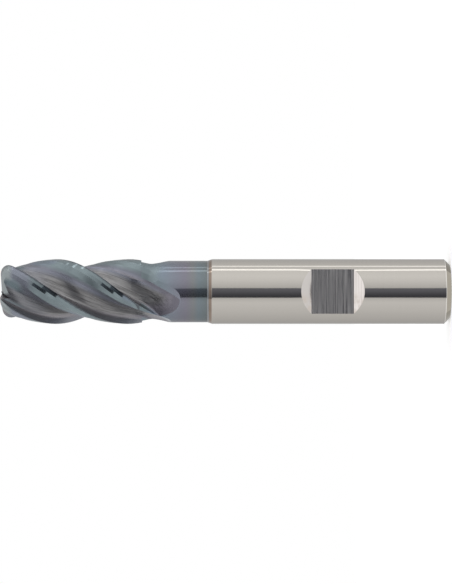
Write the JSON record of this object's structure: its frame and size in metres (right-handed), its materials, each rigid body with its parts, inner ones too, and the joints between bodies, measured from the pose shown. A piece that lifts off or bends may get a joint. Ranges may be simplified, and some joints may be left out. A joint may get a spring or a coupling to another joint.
{
  "type": "end mill",
  "caption": "Solid carbide end mill: unequal helix flutes with rounded corners, relieved neck and a straight shank with a side clamping flat, for side, slot and ramp milling",
  "frame": {"origin": "centre of the flat end of the shank, on the tool's axis", "axes": "+Z runs along the tool's axis from the shank's end to the cutting tip; -Y is the outward normal of the clamping flat on the shank; +X completes the right-handed frame and lies across the flat"},
  "size_m": [0.012, 0.012, 0.083],
  "materials": {
    "carbide": "ground, with a blue-grey wear coating on the cutting end and neck"
  },
  "bodies": {
    "root": {"end_mill": "carbide"}
  },
  "joints": []
}
